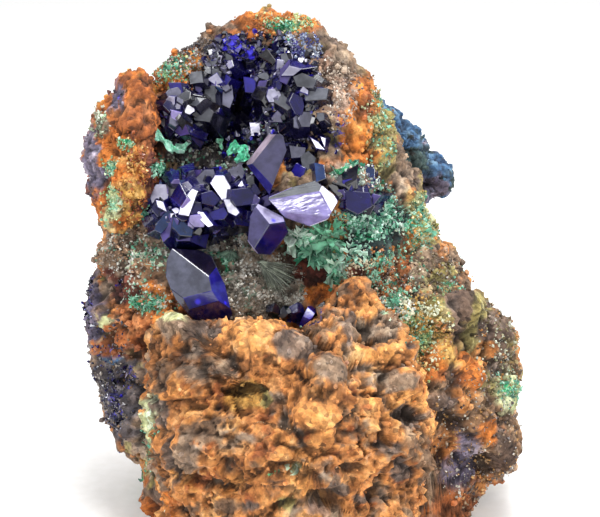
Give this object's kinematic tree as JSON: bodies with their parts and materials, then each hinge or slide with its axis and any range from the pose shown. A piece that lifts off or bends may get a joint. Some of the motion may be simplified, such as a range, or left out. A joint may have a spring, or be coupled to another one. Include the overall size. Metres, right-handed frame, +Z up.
{
  "type": "azurite specimen",
  "caption": "Mineral specimen: dark blue azurite crystals and green malachite sprays on a rounded lump of ochre limonite rock, with a crystal-lined hollow at the front. It rests on a flat base.",
  "frame": {"origin": "on the flat base that the specimen rests on, under its middle", "axes": "+Z up; the hollow and the crystals face -Y; +X is to the right for someone who looks at that side"},
  "size_m": [0.0472, 0.0429, 0.0516],
  "materials": {
    "limonite": "earthy, dull, ochre to dark brown",
    "azurite": "glassy, very dark blue",
    "malachite": "silky, bright to mint green"
  },
  "bodies": {
    "root": {"limonite_matrix": "limonite", "azurite_back_nodule": "azurite", "azurite_large_crystal": "azurite", "azurite_cluster": "azurite", "azurite_right_crystals": "azurite", "azurite_seam": "azurite", "azurite_vug_crust": "azurite", "malachite_flake_left": "malachite", "malachite_flake_middle": "malachite", "malachite_flake_upper": "malachite", "malachite_flake_lower": "malachite", "malachite_flake_right": "malachite", "malachite_fan": "malachite", "malachite_small_fan": "malachite", "malachite_tuft": "malachite", "malachite_ribbon": "malachite"}
  },
  "joints": []
}
